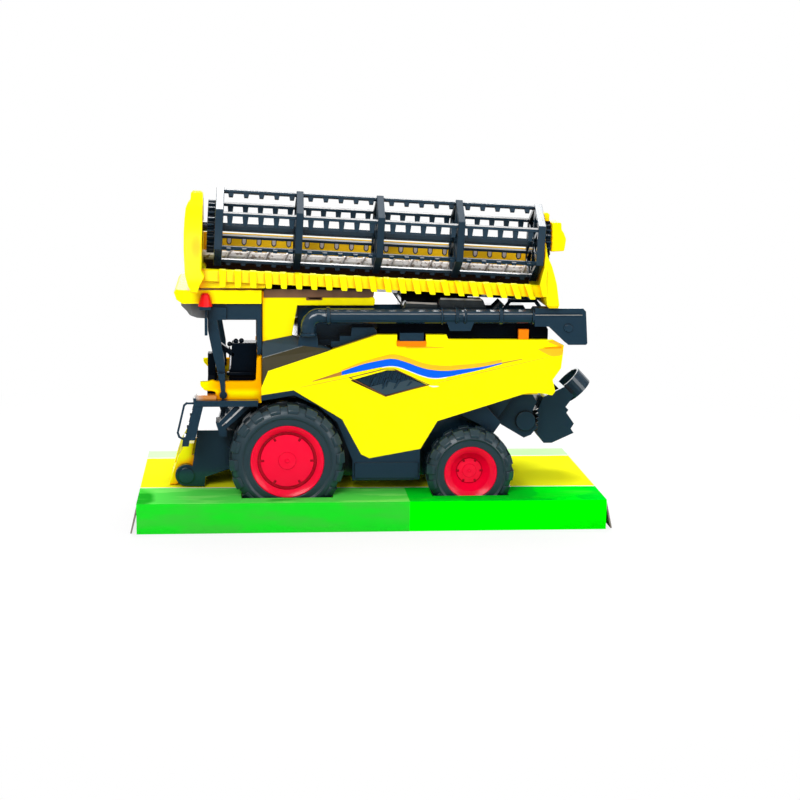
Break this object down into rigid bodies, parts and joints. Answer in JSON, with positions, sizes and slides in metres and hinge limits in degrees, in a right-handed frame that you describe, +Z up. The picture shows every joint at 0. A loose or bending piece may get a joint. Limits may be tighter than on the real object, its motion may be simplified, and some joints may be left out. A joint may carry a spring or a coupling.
{
  "type": "toy combine harvester",
  "caption": "Toy combine harvester with cab, grain tank, swinging unloading auger and a reel header carried on its roof, wheels sunk in a printed card display tray.",
  "frame": {"origin": "centre of the display tray's underside, which is the bottom centre of the whole object's box", "axes": "+X along the machine from its front (cab, feeder house) to its rear (straw chute); +Y towards the machine's right side; +Z up"},
  "size_m": [0.2772, 0.14, 0.1938],
  "materials": {
    "yellow_plastic": "glossy moulded yellow",
    "black_plastic": "glossy moulded blue-black",
    "red_plastic": "glossy crimson",
    "tyre_black": "semi-matt moulded tyre plastic",
    "lamp_grey": "glossy grey",
    "beacon_red": "translucent red, moulded solid",
    "orange_plastic": "glossy orange",
    "lid_brown": "brownish black satin",
    "shaft_grey": "grey moulded rod",
    "axle_steel": "drawn steel wire",
    "printed_card": "printed card, green and yellow",
    "vent_black": "dark grille insert"
  },
  "bodies": {
    "machine_on_tray": {"auger_pedestal": "black_plastic", "auger_rest": "orange_plastic", "beacon_left": "beacon_red", "beacon_right": "beacon_red", "body_core": "yellow_plastic", "cab_frame": "black_plastic", "cab_roof": "yellow_plastic", "cab_tub": "yellow_plastic", "carry_handle": "black_plastic", "chassis": "black_plastic", "chute_bracket": "black_plastic", "cutter_bar": "yellow_plastic", "display_tray": "printed_card", "engine_deck": "black_plastic", "exhaust_pipe": "black_plastic", "feeder_house": "black_plastic", "fender_left": "black_plastic", "fender_right": "black_plastic", "grain_tank": "yellow_plastic", "header_back": "yellow_plastic", "header_end_left": "yellow_plastic", "header_end_right": "yellow_plastic", "header_gearbox": "yellow_plastic", "header_screw": "shaft_grey", "header_trough": "black_plastic", "ladder": "black_plastic", "latch_left": "orange_plastic", "latch_right": "orange_plastic", "mirror_left": "black_plastic", "mirror_right": "black_plastic", "platform": "black_plastic", "roof_lamps": "lamp_grey", "seat": "black_plastic", "shoulder_left": "black_plastic", "shoulder_right": "black_plastic", "side_panel_left": "yellow_plastic", "side_panel_right": "yellow_plastic", "steering_column": "black_plastic", "tank_lid": "lid_brown", "vent_left": "vent_black", "vent_right": "vent_black"},
    "front_wheels": {"front_axle": "axle_steel", "front_rim_left": "red_plastic", "front_rim_right": "red_plastic", "front_tyre_left": "tyre_black", "front_tyre_right": "tyre_black"},
    "rear_wheels": {"rear_axle": "axle_steel", "rear_rim_left": "red_plastic", "rear_rim_right": "red_plastic", "rear_tyre_left": "tyre_black", "rear_tyre_right": "tyre_black"},
    "reel": {"reel": "black_plastic", "reel_shaft": "black_plastic"},
    "unloading_auger": {"auger_tube": "black_plastic", "auger_spout": "black_plastic"},
    "chute": {"rear_chute": "black_plastic", "chute_hoop": "black_plastic"},
    "coupler": {"coupler_plate": "yellow_plastic"}
  },
  "joints": [
    {"name": "front_wheels_turn", "type": "hinge", "parent": "machine_on_tray", "child": "front_wheels", "pos_m": [-0.0494, 0, 0.0382], "axis": [0, 1, 0], "continuous": true},
    {"name": "rear_wheels_turn", "type": "hinge", "parent": "machine_on_tray", "child": "rear_wheels", "pos_m": [0.0572, 0, 0.0306], "axis": [0, 1, 0], "continuous": true},
    {"name": "reel_turn", "type": "hinge", "parent": "machine_on_tray", "child": "reel", "pos_m": [0.004, -0.03, 0.1667], "axis": [0.9989, 0, -0.0471], "continuous": true},
    {"name": "auger_swing", "type": "hinge", "parent": "machine_on_tray", "child": "unloading_auger", "pos_m": [-0.0372, -0.047, 0.1115], "axis": [0, 0, 1], "range_deg": [-95, 0]},
    {"name": "chute_tilt", "type": "hinge", "parent": "machine_on_tray", "child": "chute", "pos_m": [0.0945, 0, 0.0546], "axis": [0, 1, 0], "range_deg": [-12, 12]},
    {"name": "coupler_tilt", "type": "hinge", "parent": "machine_on_tray", "child": "coupler", "pos_m": [-0.108, 0, 0.0248], "axis": [0, 1, 0], "range_deg": [-2, 6]}
  ]
}
